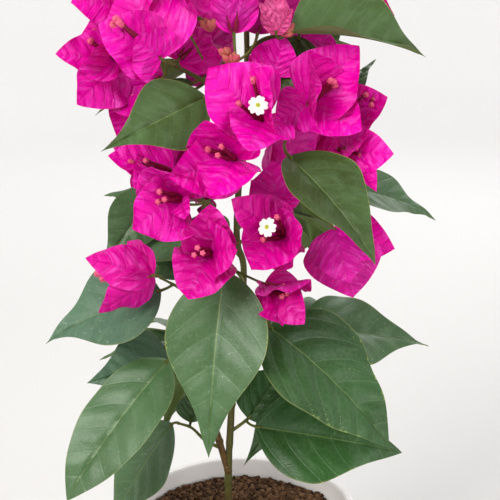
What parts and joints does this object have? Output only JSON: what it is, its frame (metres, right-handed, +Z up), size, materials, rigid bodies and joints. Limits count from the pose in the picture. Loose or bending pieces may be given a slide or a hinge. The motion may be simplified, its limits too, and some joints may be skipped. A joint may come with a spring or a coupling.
{
  "type": "potted bougainvillea",
  "caption": "Upright flowering bush with large pointed leaves and papery magenta bracts on slim woody stems, rooted in a tapered round pot of potting mix.",
  "frame": {"origin": "centre of the pot's flat underside", "axes": "+Z up from the pot's foot to the crown, +X to the right and -Y to the front as the bush is seen from its front"},
  "size_m": [0.2395, 0.1856, 0.5295],
  "materials": {
    "pot": "satin",
    "potting_mix": "matte",
    "green_stem": "satin",
    "brown_stem": "matte",
    "leaves": "satin",
    "bracts": "satin"
  },
  "bodies": {
    "root": {"pot": "pot", "potting_soil": "potting_mix", "main_stem": "green_stem", "left_cane": "brown_stem", "left_branch": "green_stem", "right_branch": "green_stem", "high_right_branch": "green_stem", "high_left_branch": "green_stem", "top_right_branch": "green_stem", "leaves_at_foot": "leaves", "leaves_low_left": "leaves", "leaves_low_right": "leaves", "leaves_right": "leaves", "back_low_left": "leaves", "back_low_right": "leaves", "spray_mid_left": "bracts", "spray_front_low": "bracts", "blossom_centre": "bracts", "blossom_right": "bracts", "blossom_high_right": "bracts", "blossom_front_top": "bracts", "blossom_mid_left": "bracts", "blossom_high_left": "bracts", "spray_top_right": "bracts", "crown_top": "bracts", "back_mid_left": "bracts", "back_mid_right": "bracts", "back_top_left": "bracts", "back_top_right": "bracts"}
  },
  "joints": []
}
